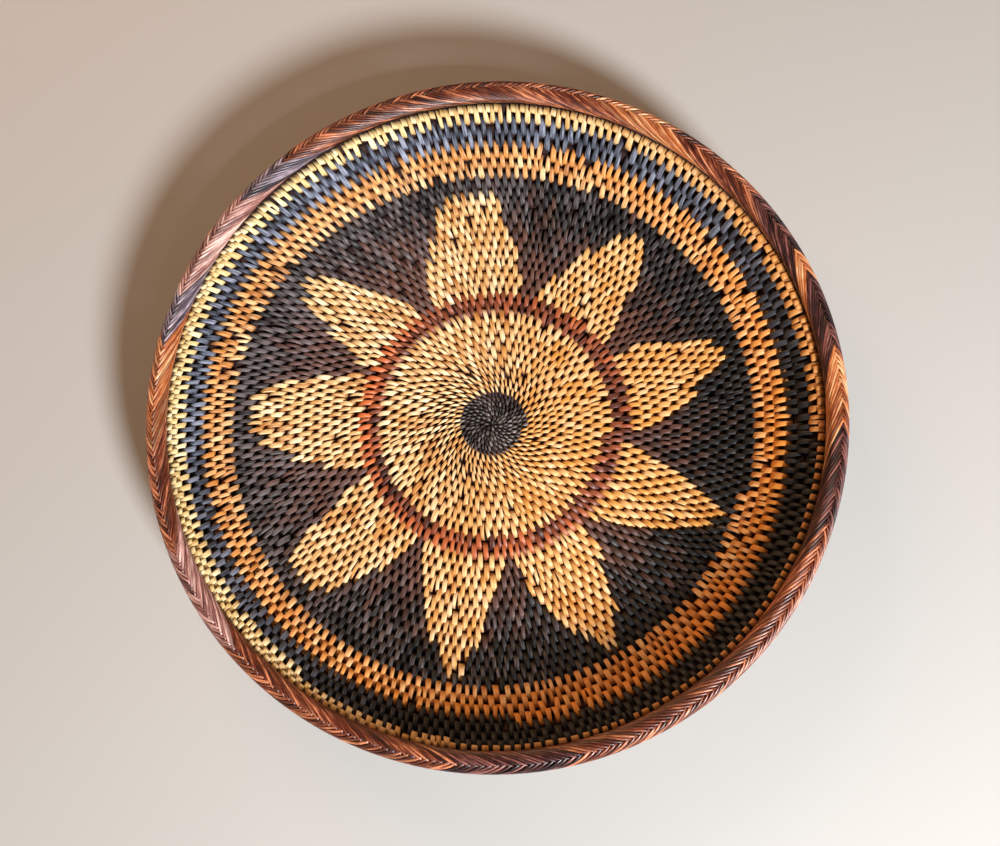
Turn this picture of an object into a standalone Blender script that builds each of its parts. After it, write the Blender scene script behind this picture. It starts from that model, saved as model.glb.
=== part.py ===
# Coiled basketry tray: one spiral foundation, sewn row to row with coloured splints, and a lashed rim.
# Metres, +Z up. The origin is on the resting surface, under the centre.
# Angles run clockwise from +Y as seen from above, the way the coil was wound.

import math

import bpy
import bmesh

MM = 0.001

# The rows of the coil: the spacing of the rows, and how many rows each colour has.
BUTTON_PITCH = 2.65 * MM
FINE_PITCH = 3.2 * MM
ROW_PITCH = 5.37 * MM
KNOT_RADIUS = 3.2 * MM
BUTTON_ROWS = 5
FINE_ROWS = 4
FIELD_ROWS = 6
RED_ROWS = 2
STAR_ROWS = 13
ORANGE_ROWS = 3
BLACK_ROWS = 2
EDGE_ROWS = 2

# The dish: a flat floor, then one curve up to the rim, measured along the middle of the wall.
FLOOR_RADIUS = 82 * MM
WALL_CURVE_RADIUS = 106 * MM

# The sewn wall, as shares of the spacing of its rows.
THICKNESS_SHARE = 1.03
SPLINT_SHARE = 0.14

# The rim: a hoop, and the splints lashed round it.
RIM_RADIUS = 5.2 * MM
LASHING_THICKNESS = 1.2 * MM
RIM_SIDES = 10

# The clearances: between neighbouring stitching, round the foundation, and at the rim.
SEAM_GAP = 0.3 * MM
BEDDING_GAP = 0.3 * MM
RIM_SEAT_GAP = 0.3 * MM
LASHING_CLEARANCE = 0.3 * MM
CUT_OVERRUN = 12 * MM

# Every ring has the same flats, so neighbours stay parallel. Each colour starts a row at START_ANGLE.
STATIONS = 24
START_ANGLE = 96
FLOOR_STEPS = 1
STAR_STEPS = 6
WALL_STEPS = 2
SHARP_ANGLE = 30
COIL_TAIL_SHARE = 0.35
LEAST_COIL_GAP = 0.4 * MM

# The star. Each petal has two sides at its base, two at its tip, and its length as a share of the star's rows.
PETALS = [
    {"base": (333, 372), "tip": (349, 359), "length_share": 0.93},
    {"base": (379, 414), "tip": (396.5, 399.5), "length_share": 0.935},
    {"base": (421, 453), "tip": (432, 434), "length_share": 0.97},
    {"base": (460, 492), "tip": (471.5, 473.5), "length_share": 0.965},
    {"base": (499, 530), "tip": (510.5, 512.5), "length_share": 0.975},
    {"base": (537, 568.5), "tip": (546.5, 548.5), "length_share": 0.97},
    {"base": (573, 606), "tip": (586, 595), "length_share": 0.91},
    {"base": (612, 651), "tip": (628, 637), "length_share": 0.935},
    {"base": (655.5, 687), "tip": (666.5, 669.5), "length_share": 0.935},
]
SIDE_STEPS = 3
CUTTER_REACH_SHARE = 1.25
CUTTER_CORE_SHARE = 0.6

# Colours, as seen on a screen, each with a roughness.
NATURAL = ((0.86, 0.68, 0.42), 0.55)
ORANGE = ((0.80, 0.52, 0.24), 0.5)
PALE = ((0.92, 0.85, 0.66), 0.55)
RED_BROWN = ((0.50, 0.24, 0.18), 0.5)
GROUND = ((0.25, 0.19, 0.17), 0.5)
BLACK = ((0.15, 0.16, 0.19), 0.45)
CHARCOAL = ((0.22, 0.20, 0.18), 0.5)
FIBRE = ((0.33, 0.22, 0.13), 0.8)
CANE = ((0.62, 0.45, 0.26), 0.7)
RIM_RED = ((0.55, 0.30, 0.23), 0.42)
RIM_ORANGE = ((0.73, 0.42, 0.22), 0.42)
RIM_DARK = ((0.30, 0.17, 0.16), 0.42)
RIM_DUSKY = ((0.43, 0.28, 0.27), 0.42)
RIM_SLATE = ((0.27, 0.25, 0.29), 0.42)

# The lashing of the rim changes colour at these angles.
RIM_RUNS = [
    (0, RIM_RED),
    (18, RIM_ORANGE),
    (33, RIM_RED),
    (50, RIM_DARK),
    (62, RIM_ORANGE),
    (67, RIM_DARK),
    (80, RIM_ORANGE),
    (93, RIM_DARK),
    (110, RIM_RED),
    (138, RIM_RED),
    (165, RIM_DARK),
    (185, RIM_RED),
    (205, RIM_RED),
    (226, RIM_DUSKY),
    (245, RIM_RED),
    (262, RIM_ORANGE),
    (281, RIM_SLATE),
    (290, RIM_DUSKY),
    (310, RIM_SLATE),
    (320, RIM_RED),
]


def clear_scene():
    """Remove whatever the scene holds."""
    for old in list(bpy.data.objects):
        bpy.data.objects.remove(old, do_unlink=True)


def linear(channel):
    """Turn one screen colour channel into light."""
    return ((channel + 0.055) / 1.055) ** 2.4


def make_material(name, finish):
    """Make a Principled material from a colour and a roughness."""
    colour, roughness = finish
    material = bpy.data.materials.new(name)
    material.use_nodes = True
    shader = material.node_tree.nodes["Principled BSDF"]
    shader.inputs["Base Color"].default_value = [linear(channel) for channel in colour] + [1.0]
    shader.inputs["Roughness"].default_value = roughness
    shader.inputs["Metallic"].default_value = 0.0
    return material


def pitch_at(turns):
    """Spacing of the rows at this many turns along the coil."""
    if turns <= BUTTON_ROWS:
        return BUTTON_PITCH
    if turns <= BUTTON_ROWS + FINE_ROWS:
        return FINE_PITCH
    return ROW_PITCH


def coil_arc(turns):
    """How far out the coil has come, along the wall, before its edges are shared with its neighbours."""
    button = min(turns, BUTTON_ROWS)
    fine = min(max(turns - BUTTON_ROWS, 0), FINE_ROWS)
    main = max(turns - BUTTON_ROWS - FINE_ROWS, 0)
    start = KNOT_RADIUS + BUTTON_PITCH / 2
    return start + button * BUTTON_PITCH + fine * FINE_PITCH + main * ROW_PITCH


def free_edge(turns):
    """Edge between one turn of the coil and the turn inside it."""
    return (coil_arc(turns - 1) + coil_arc(turns)) / 2


FINE_START = BUTTON_ROWS
FIELD_START = FINE_START + FINE_ROWS
RED_START = FIELD_START + FIELD_ROWS
STAR_START = RED_START + RED_ROWS
ORANGE_START = STAR_START + STAR_ROWS
BLACK_START = ORANGE_START + ORANGE_ROWS
EDGE_START = BLACK_START + BLACK_ROWS
COIL_TURNS = EDGE_START + EDGE_ROWS
WALL_END = free_edge(COIL_TURNS)
FLOOR_HEIGHT = THICKNESS_SHARE * ROW_PITCH / 2


def row_edge(turns):
    """Edge between two rows, held to a true round at the outside, where the last row thins out."""
    return min(free_edge(turns), WALL_END)


def row_width(turns):
    """Width of the row of the coil at this many turns."""
    return row_edge(turns + 1) - row_edge(turns)


def row_centre(turns):
    """Middle of the row of the coil at this many turns."""
    return (row_edge(turns) + row_edge(turns + 1)) / 2


def dish(arc):
    """Radius, height and slope of the middle of the wall, at a distance along it from the centre."""
    slope = max(arc - FLOOR_RADIUS, 0) / WALL_CURVE_RADIUS
    radius = min(arc, FLOOR_RADIUS) + WALL_CURVE_RADIUS * math.sin(slope)
    height = FLOOR_HEIGHT + WALL_CURVE_RADIUS * (1 - math.cos(slope))
    return radius, height, slope


def ring_point(radius, height, turn):
    """Point on the flats that every ring shares. A turn of 0 is at START_ANGLE."""
    half = math.pi / STATIONS
    local = (turn * STATIONS % 1 - 0.5) * 2 * half
    flat_radius = radius * math.cos(half) / math.cos(local)
    angle = math.radians(START_ANGLE) + 2 * math.pi * turn
    return flat_radius * math.sin(angle), flat_radius * math.cos(angle), height


def wall_point(arc, offset, turn):
    """Point at a distance along the wall, and an offset square to its middle."""
    radius, height, slope = dish(arc)
    return ring_point(radius - offset * math.sin(slope), height + offset * math.cos(slope), turn)


def half_gap_turn(radius):
    """Half of a seam gap at this radius, as a share of a turn."""
    return SEAM_GAP / 2 / (2 * math.pi * radius)


def stations_between(first, last):
    """Shared stations that lie between two turns."""
    low = math.floor(first * STATIONS) + 1
    high = math.ceil(last * STATIONS)
    return [station / STATIONS for station in range(low, high)]


def add_object(name, builder, finish):
    """Make a smooth-shaded object from a bmesh, with its own material."""
    mesh = bpy.data.meshes.new(name)
    bmesh.ops.recalc_face_normals(builder, faces=builder.faces)
    builder.to_mesh(mesh)
    builder.free()
    mesh.materials.append(make_material(name, finish))
    mesh.shade_smooth()
    mesh.set_sharp_from_angle(angle=math.radians(SHARP_ANGLE))
    obj = bpy.data.objects.new(name, mesh)
    bpy.context.scene.collection.objects.link(obj)
    return obj


def bridge(builder, ring_a, ring_b):
    """Join two equal rings of vertices with quads."""
    count = len(ring_a)
    for index in range(count):
        after = (index + 1) % count
        builder.faces.new((ring_a[index], ring_a[after], ring_b[after], ring_b[index]))


def tube(sections):
    """Closed tube through a list of sections, each a ring of points."""
    builder = bmesh.new()
    rings = [[builder.verts.new(point) for point in section] for section in sections]
    for ring_a, ring_b in zip(rings, rings[1:]):
        bridge(builder, ring_a, ring_b)
    builder.faces.new(rings[0])
    builder.faces.new(rings[-1])
    return builder


def pipe(outer_sections, inner_sections):
    """Hollow pipe with open ends, through matching outer and inner sections."""
    builder = bmesh.new()
    outer = [[builder.verts.new(point) for point in section] for section in outer_sections]
    inner = [[builder.verts.new(point) for point in section] for section in inner_sections]
    for rings in (outer, inner):
        for ring_a, ring_b in zip(rings, rings[1:]):
            bridge(builder, ring_a, ring_b)
    bridge(builder, outer[0], inner[0])
    bridge(builder, outer[-1], inner[-1])
    return builder


def sleeve_section(first_row, rows, turn, inset, steps):
    """Section of the stitching over some rows: along its top, then back along its underside."""
    pitch = pitch_at(first_row + rows)
    low = row_edge(first_row + turn) + SEAM_GAP / 2 + inset
    high = row_edge(first_row + rows + turn) - SEAM_GAP / 2 - inset
    offset = THICKNESS_SHARE * pitch / 2 - inset
    arcs = [low + (high - low) * step / steps for step in range(steps + 1)]
    section = []
    for side, run in ((1, arcs), (-1, arcs[::-1])):
        for arc in run:
            half_gap = half_gap_turn(dish(arc)[0])
            held_turn = min(max(turn, half_gap), 1 - half_gap)
            section.append(wall_point(arc, side * offset, held_turn))
    return section


def stitching(first_row, rows, steps):
    """Sleeve of stitching over some rows, open at the slit where the coil steps out a row."""
    splint = SPLINT_SHARE * pitch_at(first_row + rows)
    turns = [station / STATIONS for station in range(STATIONS + 1)]
    outer = [sleeve_section(first_row, rows, turn, 0, steps) for turn in turns]
    inner = [sleeve_section(first_row, rows, turn, splint, steps) for turn in turns]
    return pipe(outer, inner)


def bundle_section(turns):
    """Section of the foundation bundle: its inside, top, outside and underside."""
    pitch = pitch_at(turns)
    taken = 2 * (SPLINT_SHARE * pitch + BEDDING_GAP)
    half_width = (row_width(turns) - SEAM_GAP - taken) / 2
    half_height = (THICKNESS_SHARE * pitch - taken) / 2
    centre = row_centre(turns)
    corners = [(-half_width, 0), (0, half_height), (half_width, 0), (0, -half_height)]
    return [wall_point(centre + along, offset, turns) for along, offset in corners]


def coil_sections(first, last):
    """Sections of the foundation between two numbers of turns, with half a seam gap left at each end."""
    start = first + half_gap_turn(dish(row_centre(first))[0])
    end = last - half_gap_turn(dish(row_centre(last))[0])
    turns = [start] + stations_between(first, last) + [end]
    return [bundle_section(turn) for turn in turns]


def least_self_gap(sections):
    """Least distance between the facing edges of one turn and the next, on the coil's own points."""
    gaps = []
    for section, outside in zip(sections[1:], sections[1 + STATIONS:-1]):
        gaps.append(math.dist(section[2], outside[0]))
    return min(gaps)


def make_foundation_coil(name, first, last):
    """One spliced length of the foundation, wound as an unbroken spiral."""
    sections = coil_sections(first, last)
    gap = least_self_gap(sections)
    print(f"{name}: {last - first:.2f} turns, least gap to itself {gap / MM:.2f} mm")
    assert gap > LEAST_COIL_GAP
    add_object(name, tube(sections), FIBRE)


def make_start_knot():
    """The knot that the coil starts from, with a step where the first row leaves it."""
    offset = THICKNESS_SHARE * BUTTON_PITCH / 2
    faces = []
    for side in (1, -1):
        ring = []
        for station in range(STATIONS + 1):
            arc = row_edge(station / STATIONS) - SEAM_GAP / 2
            half_gap = half_gap_turn(arc)
            turn = min(max(station / STATIONS, half_gap), 1 - half_gap)
            ring.append(wall_point(arc, side * offset, turn))
        faces.append(ring)
    add_object("start_knot", tube(faces), CHARCOAL)


def petal_tip_arc(petal):
    """How far out a petal reaches, along the wall."""
    base = row_edge(STAR_START)
    return base + petal["length_share"] * (row_edge(ORANGE_START) - base)


def petal_side(petal, side, gap):
    """Outline of one side of a petal from base to tip, moved away from the petal by a gap."""
    base_arc = row_edge(STAR_START)
    tip_arc = petal_tip_arc(petal) + gap
    base_angle = petal["base"][side]
    tip_angle = petal["tip"][side]
    away = (-1, 1)[side]
    shares = [step / SIDE_STEPS for step in range(SIDE_STEPS + 1)]
    outline = [(CUTTER_CORE_SHARE * base_arc, math.radians(base_angle) + away * gap / base_arc)]
    for share in shares:
        radius = dish(base_arc + share * (tip_arc - base_arc))[0]
        angle = math.radians(base_angle + share * (tip_angle - base_angle))
        outline.append((radius, angle + away * gap / radius))
    return outline


def make_cutter(name, outline):
    """Upright prism from an outline in radius and angle, hidden, for cutting the star's stitching."""
    builder = bmesh.new()
    low = -CUT_OVERRUN
    high = dish(WALL_END)[1] + CUT_OVERRUN
    rings = []
    for height in (low, high):
        ring = [builder.verts.new((radius * math.sin(angle), radius * math.cos(angle), height))
                for radius, angle in outline]
        rings.append(ring)
    bridge(builder, rings[0], rings[1])
    builder.faces.new(rings[0])
    builder.faces.new(rings[1])
    bmesh.ops.recalc_face_normals(builder, faces=builder.faces)
    mesh = bpy.data.meshes.new(name)
    builder.to_mesh(mesh)
    builder.free()
    cutter = bpy.data.objects.new(name, mesh)
    cutter.hide_render = True
    cutter.display_type = "WIRE"
    bpy.context.scene.collection.objects.link(cutter)
    return cutter


def make_star_piece(name, outline, finish):
    """Part of the star's stitching, kept inside an outline."""
    piece = add_object(name, stitching(STAR_START, STAR_ROWS, STAR_STEPS), finish)
    cut = piece.modifiers.new("outline", "BOOLEAN")
    cut.operation = "INTERSECT"
    cut.solver = "EXACT"
    cut.object = make_cutter(name + "_outline", outline)


def make_petals():
    """The nine petals, in natural splint."""
    for number, petal in enumerate(PETALS, 1):
        left = petal_side(petal, 0, -SEAM_GAP / 2)
        right = petal_side(petal, 1, -SEAM_GAP / 2)
        make_star_piece(f"star_petal_{number}", left + right[::-1], NATURAL)


def tip_line(petal, away):
    """Line from the middle of a petal's tip outwards, where the ground of both sides meets."""
    middle = math.radians(sum(petal["tip"]) / 2)
    tip_radius = dish(petal_tip_arc(petal) + SEAM_GAP / 2)[0]
    reach = CUTTER_REACH_SHARE * dish(row_edge(ORANGE_START + 1))[0]
    return [(radius, middle + away * SEAM_GAP / 2 / radius) for radius in (tip_radius, reach)]


def start_line():
    """Line along the slit where the coil steps out a row, from inside out."""
    core = CUTTER_CORE_SHARE * row_edge(STAR_START)
    reach = CUTTER_REACH_SHARE * dish(row_edge(ORANGE_START + 1))[0]
    angle = math.radians(START_ANGLE + 360)
    return [(core, angle), (reach, angle)]


def make_ground():
    """The dark ground between the petals. The slit splits one of its areas in two."""
    number = 1
    for index, petal in enumerate(PETALS):
        after = dict(PETALS[(index + 1) % len(PETALS)])
        if index == len(PETALS) - 1:
            after["base"] = tuple(angle + 360 for angle in after["base"])
            after["tip"] = tuple(angle + 360 for angle in after["tip"])
        from_side = petal_side(petal, 1, SEAM_GAP / 2) + tip_line(petal, 1)
        to_side = petal_side(after, 0, SEAM_GAP / 2) + tip_line(after, -1)
        slit = START_ANGLE + 360
        if petal["base"][1] < slit < after["base"][0]:
            areas = [(from_side, start_line()), (start_line(), to_side)]
        else:
            areas = [(from_side, to_side)]
        for first_side, last_side in areas:
            make_star_piece(f"star_ground_{number}", first_side + last_side[::-1], GROUND)
            number += 1


def rim_section(radius, turn):
    """Section of the rim, a polygon of this inside radius, with one flat square to the end of the wall."""
    wall_radius, wall_height, slope = dish(WALL_END)
    seat = RIM_RADIUS + RIM_SEAT_GAP
    centre_radius = wall_radius + seat * math.cos(slope)
    centre_height = wall_height + seat * math.sin(slope)
    corner = radius / math.cos(math.pi / RIM_SIDES)
    points = []
    for side in range(RIM_SIDES):
        lean = slope + math.pi + (side + 0.5) * 2 * math.pi / RIM_SIDES
        points.append(ring_point(centre_radius + corner * math.cos(lean),
                                 centre_height + corner * math.sin(lean), turn))
    return points


def make_rim_hoop():
    """The hoop inside the rim, an unbroken ring."""
    hoop_radius = RIM_RADIUS - LASHING_THICKNESS - LASHING_CLEARANCE
    builder = bmesh.new()
    rings = [[builder.verts.new(point) for point in rim_section(hoop_radius, station / STATIONS)]
             for station in range(STATIONS)]
    for ring_a, ring_b in zip(rings, rings[1:] + rings[:1]):
        bridge(builder, ring_a, ring_b)
    add_object("rim_hoop", builder, CANE)


def make_rim_lashing():
    """The lashing round the hoop, one length for each run of colour."""
    half_gap = half_gap_turn(dish(WALL_END)[0])
    ends = [angle for angle, finish in RIM_RUNS[1:]] + [360 + RIM_RUNS[0][0]]
    for number, ((angle, finish), end_angle) in enumerate(zip(RIM_RUNS, ends), 1):
        first = (angle - START_ANGLE) / 360 + half_gap
        last = (end_angle - START_ANGLE) / 360 - half_gap
        turns = [first] + stations_between(first, last) + [last]
        outer = [rim_section(RIM_RADIUS, turn) for turn in turns]
        inner = [rim_section(RIM_RADIUS - LASHING_THICKNESS, turn) for turn in turns]
        add_object(f"rim_lashing_{number:02d}", pipe(outer, inner), finish)


def main():
    """Build the tray from the centre outwards."""
    clear_scene()
    make_start_knot()
    make_foundation_coil("foundation_coil_centre", 0, FIELD_START)
    make_foundation_coil("foundation_coil_floor", FIELD_START, ORANGE_START)
    make_foundation_coil("foundation_coil_wall", ORANGE_START, COIL_TURNS - 1 + COIL_TAIL_SHARE)
    add_object("button_stitching", stitching(0, BUTTON_ROWS, FLOOR_STEPS), CHARCOAL)
    add_object("fine_row_stitching", stitching(FINE_START, FINE_ROWS, FLOOR_STEPS), NATURAL)
    add_object("inner_field_stitching", stitching(FIELD_START, FIELD_ROWS, FLOOR_STEPS), NATURAL)
    add_object("red_ring_stitching", stitching(RED_START, RED_ROWS, FLOOR_STEPS), RED_BROWN)
    make_petals()
    make_ground()
    add_object("orange_band_stitching", stitching(ORANGE_START, ORANGE_ROWS, WALL_STEPS), ORANGE)
    add_object("black_band_stitching", stitching(BLACK_START, BLACK_ROWS, WALL_STEPS), BLACK)
    add_object("pale_edge_stitching", stitching(EDGE_START, EDGE_ROWS, WALL_STEPS), PALE)
    make_rim_hoop()
    make_rim_lashing()


main()
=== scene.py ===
# %% [markdown]
# # A coiled basketry tray, sewn stitch by stitch
# A coiled basket is one long bundle of fibre, wound in a spiral and sewn to itself with split
# cane. Its looks come from some four thousand small stitches, so this lesson lays every stitch
# by the rule that a basket maker follows, instead of painting them on a smooth bowl.
# The CAD model is loaded first and never changed: it says where each row and band must be.

# %% Load the frame
import math

import bpy
import numpy as np
from mathutils import Matrix, Vector


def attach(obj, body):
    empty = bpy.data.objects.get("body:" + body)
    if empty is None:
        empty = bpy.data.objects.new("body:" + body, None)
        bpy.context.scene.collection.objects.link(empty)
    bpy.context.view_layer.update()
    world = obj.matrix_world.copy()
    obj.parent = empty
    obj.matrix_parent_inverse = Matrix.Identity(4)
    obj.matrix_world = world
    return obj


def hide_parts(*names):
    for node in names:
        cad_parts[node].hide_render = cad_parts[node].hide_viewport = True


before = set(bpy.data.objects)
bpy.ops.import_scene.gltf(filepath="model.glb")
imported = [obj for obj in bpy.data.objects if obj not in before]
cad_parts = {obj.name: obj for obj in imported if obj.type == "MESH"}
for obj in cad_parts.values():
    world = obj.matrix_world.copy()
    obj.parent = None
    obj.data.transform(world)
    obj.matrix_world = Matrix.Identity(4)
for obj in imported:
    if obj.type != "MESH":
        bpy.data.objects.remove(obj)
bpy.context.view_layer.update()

MM = 0.001

# %% [markdown]
# ## The camera
# The photographer leaned over the tray and held the camera slightly towards its near right side.
# A pinhole camera was fitted to the rim and the coloured bands, so the camera stands where it
# stood. It is placed with its own right and up directions, because a view from nearly straight
# above leaves an automatic tracking tool unsure which way is up. The Standard view transform
# shows the colours as they are mixed, without a film look.

# %% Stand the camera over the tray
EYE_DISTANCE = 538 * MM
EYE_TILT = math.radians(10.7)
EYE_SIDE = math.radians(161)
FLOOR_MIDDLE = Vector((0, 0, 5 * MM))
AIM = FLOOR_MIDDLE + Vector((4.3 * MM, 0.5 * MM, 0))
LENS = 36
SENSOR_WIDTH = 36


def clock_point(radius, angle, height):
    """Point at a clockwise angle from the +Y axis, as on a clock face seen from above."""
    return Vector((radius * math.sin(angle), radius * math.cos(angle), height))


eye_out = EYE_DISTANCE * math.sin(EYE_TILT)
eye_up = EYE_DISTANCE * math.cos(EYE_TILT)
eye = FLOOR_MIDDLE + clock_point(eye_out, EYE_SIDE, eye_up)
ahead = (AIM - eye).normalized()
right = ahead.cross(Vector((0, 1, 0))).normalized()
up = right.cross(ahead)
camera_data = bpy.data.cameras.new("camera")
camera_data.sensor_width = SENSOR_WIDTH
camera_data.lens = LENS
camera = bpy.data.objects.new("camera", camera_data)
camera.matrix_world = Matrix.Translation(eye) @ Matrix((right, up, -ahead)).transposed().to_4x4()
bpy.context.scene.collection.objects.link(camera)
bpy.context.scene.camera = camera
bpy.context.scene.view_settings.view_transform = "Standard"
print("camera at", [round(value, 3) for value in eye])

# %% [markdown]
# ## Light
# The tray was lit by a window low on its near right side: the stitches shine at their near ends
# and the wall that is nearest the window lies in shade. A round lamp, low and some way off, does
# the same. A second lamp, wider, weaker and warm, stands opposite, like the glow of a room: it
# gives the far ends of the stitches their brown. A faint warm sky keeps the shadows open.

# %% Hang the lamps
LAMP_DISTANCE = 1.5
WINDOW_ANGLE = math.radians(147)
WINDOW_HEIGHT = math.radians(38)
WINDOW_SIZE = 0.3
WINDOW_POWER = 40
WINDOW_COLOUR = (0.95, 0.97, 1.0)
ROOM_ANGLE = math.radians(325)
ROOM_HEIGHT = math.radians(32)
ROOM_SIZE = 1.0
ROOM_POWER = 11
ROOM_COLOUR = (1.0, 0.57, 0.31)
SKY_COLOUR = (1.0, 0.86, 0.72, 1)
SKY_STRENGTH = 0.1


def hang_lamp(name, angle, height, size, power, colour):
    """Area lamp that looks at the middle of the tray."""
    data = bpy.data.lights.new(name, "AREA")
    data.shape = "DISK"
    data.size = size
    data.energy = power
    data.color = colour
    lamp = bpy.data.objects.new(name, data)
    lamp.location = clock_point(LAMP_DISTANCE * math.cos(height), angle, LAMP_DISTANCE * math.sin(height))
    lamp.rotation_euler = (-lamp.location).to_track_quat("-Z", "Y").to_euler()
    bpy.context.scene.collection.objects.link(lamp)


hang_lamp("window", WINDOW_ANGLE, WINDOW_HEIGHT, WINDOW_SIZE, WINDOW_POWER, WINDOW_COLOUR)
hang_lamp("room", ROOM_ANGLE, ROOM_HEIGHT, ROOM_SIZE, ROOM_POWER, ROOM_COLOUR)
world = bpy.data.worlds.new("sky")
bpy.context.scene.world = world
world.use_nodes = True
sky = world.node_tree.nodes["Background"]
sky.inputs["Color"].default_value = SKY_COLOUR
sky.inputs["Strength"].default_value = SKY_STRENGTH
print("lamps:", [lamp.name for lamp in bpy.data.lights])

# %% [markdown]
# ## Floor
# The tray stands on a plain pale floor, one square so large that its edges never show. Colours
# are written here as a screen shows them, and the helper makes them linear, as Blender mixes them.

# %% Lay the floor
FLOOR_SIZE = 40.0
FLOOR_COLOUR = (0.74, 0.73, 0.71)
FLOOR_ROUGHNESS = 0.8


def to_linear(colour):
    """Screen colour, from 0 to 1, as Blender's linear colour."""
    return [c / 12.92 if c < 0.04045 else ((c + 0.055) / 1.055) ** 2.4 for c in colour] + [1.0]


half = FLOOR_SIZE / 2
floor_corners = [(-half, -half, 0), (half, -half, 0), (half, half, 0), (-half, half, 0)]
floor_mesh = bpy.data.meshes.new("floor")
floor_mesh.from_pydata(floor_corners, [], [(0, 1, 2, 3)])
floor = bpy.data.objects.new("floor", floor_mesh)
bpy.context.scene.collection.objects.link(floor)
floor_finish = bpy.data.materials.new("floor")
floor_finish.use_nodes = True
floor_shader = floor_finish.node_tree.nodes["Principled BSDF"]
floor_shader.inputs["Base Color"].default_value = to_linear(FLOOR_COLOUR)
floor_shader.inputs["Roughness"].default_value = FLOOR_ROUGHNESS
floor_mesh.materials.append(floor_finish)
print("floor:", FLOOR_SIZE, "m")

# %% [markdown]
# ## The coil
# The rows are a single spiral, so everything is placed by one number: how many turns of the coil
# have been wound. The rows of the centre button are fine, and the bundle then thickens steadily
# up to the ring. The CAD model makes that change in one step; elsewhere its rows are the same.
# The coil starts at another angle than the seam where the colours change, so a colour starts a
# part of a turn after its whole number.

# %% Say how the coil grows
BUTTON_PITCH = 2.65 * MM
FINE_PITCH = 3.63 * MM
ROW_PITCH = 5.37 * MM
KNOT_RADIUS = 3.2 * MM
BUTTON_ROWS = 5
FIELD_START = BUTTON_ROWS + 4
RED_START = FIELD_START + 6
STAR_START = RED_START + 2
ORANGE_START = STAR_START + 13
BLACK_START = ORANGE_START + 3
PALE_START = BLACK_START + 2
COIL_TURNS = PALE_START + 2
SEAM_DEGREES = 96
START_DEGREES = 17
START_ANGLE = math.radians(START_DEGREES)
SEAM_LAG = (SEAM_DEGREES - START_DEGREES) / 360


def coil_arc(turns):
    """How far out the coil has come, along the wall."""
    thickening_rows = RED_START - BUTTON_ROWS
    button = np.minimum(turns, BUTTON_ROWS)
    fine = np.clip(turns - BUTTON_ROWS, 0, thickening_rows)
    main = np.maximum(turns - RED_START, 0)
    start = KNOT_RADIUS + BUTTON_PITCH / 2
    thickened = fine * FINE_PITCH + fine ** 2 * (ROW_PITCH - FINE_PITCH) / thickening_rows / 2
    return start + button * BUTTON_PITCH + thickened + main * ROW_PITCH


def free_edge(turns):
    """Edge between one turn of the coil and the turn inside it."""
    return (coil_arc(turns - 1) + coil_arc(turns)) / 2


WALL_END = float(free_edge(COIL_TURNS))


def row_edge(turns):
    """The same edge, held to a true round at the outside, where the last row thins out."""
    return np.minimum(free_edge(turns), WALL_END)


def bundle_pitch(turns):
    """Nominal width of the bundle, which also sets how thick the wall is."""
    places = (BUTTON_ROWS - 0.5, BUTTON_ROWS + 0.5, RED_START)
    return np.interp(turns, places, (BUTTON_PITCH, FINE_PITCH, ROW_PITCH))


print("wall runs", round(WALL_END / MM, 1), "mm from the centre")

# %% [markdown]
# ## The dish
# The floor is flat and the wall then curves up on one round. A point is given by its distance
# along that line, its offset square to it, and its angle round the tray. The tray is made by
# hand: its wall leans over a little, so that the rim sits some two millimetres to one side of the
# floor, and on the far right side the rows of the wall wander in by a few millimetres.

# %% Shape the dish
FLOOR_RADIUS = 82 * MM
WALL_CURVE_RADIUS = 106 * MM
THICKNESS_SHARE = 1.03
FLOOR_HEIGHT = THICKNESS_SHARE * ROW_PITCH / 2
RIM_SHIFT = np.array([2.1 * MM, 0.8 * MM])
SHIFT_FROM = 15 * MM
SHIFT_TO = 48 * MM
SHIFT_MOST_SHARE = 1.2
SHIFT_POWER = 1.5
WANDER_PLACES = (80 * MM, 125 * MM, 137 * MM, 157 * MM, 165 * MM, 174 * MM)
WANDER_SIZES = (0, 1.5 * MM, 3.5 * MM, 3.7 * MM, 1.7 * MM, 0)
WANDER_MIDDLE = math.radians(37)
WANDER_SWING_SHARE = 1.6
WANDER_BASE_SHARE = 0.2


def leaned(points):
    """The points, moved sideways the more the higher they are."""
    share = np.clip((points[..., 2:] - SHIFT_FROM) / (SHIFT_TO - SHIFT_FROM), 0, SHIFT_MOST_SHARE)
    points[..., :2] += RIM_SHIFT * share ** SHIFT_POWER
    return points


def round_points(radius, angle, height):
    """Points at clockwise angles round the tray, in their leaned places."""
    radius, angle, height = np.broadcast_arrays(radius, angle, height)
    return leaned(np.stack([radius * np.sin(angle), radius * np.cos(angle), height], axis=-1))


def dish(arc):
    """Radius, height and slope of the middle of the wall, at a distance along it from the centre."""
    slope = np.maximum(arc - FLOOR_RADIUS, 0) / WALL_CURVE_RADIUS
    radius = np.minimum(arc, FLOOR_RADIUS) + WALL_CURVE_RADIUS * np.sin(slope)
    return radius, FLOOR_HEIGHT + WALL_CURVE_RADIUS * (1 - np.cos(slope)), slope


def wall_points(arc, offset, angle):
    """Points at distances along the wall, offsets square to it, and clockwise angles."""
    wander = np.interp(arc, WANDER_PLACES, WANDER_SIZES)
    share = np.clip(WANDER_SWING_SHARE * np.cos(angle - WANDER_MIDDLE) + WANDER_BASE_SHARE, 0, 1)
    radius, height, slope = dish(arc - wander * share)
    return round_points(radius - offset * np.sin(slope), angle, height + offset * np.cos(slope))


print("dish depth:", round(float(dish(WALL_END)[1]) / MM, 1), "mm")

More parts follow.
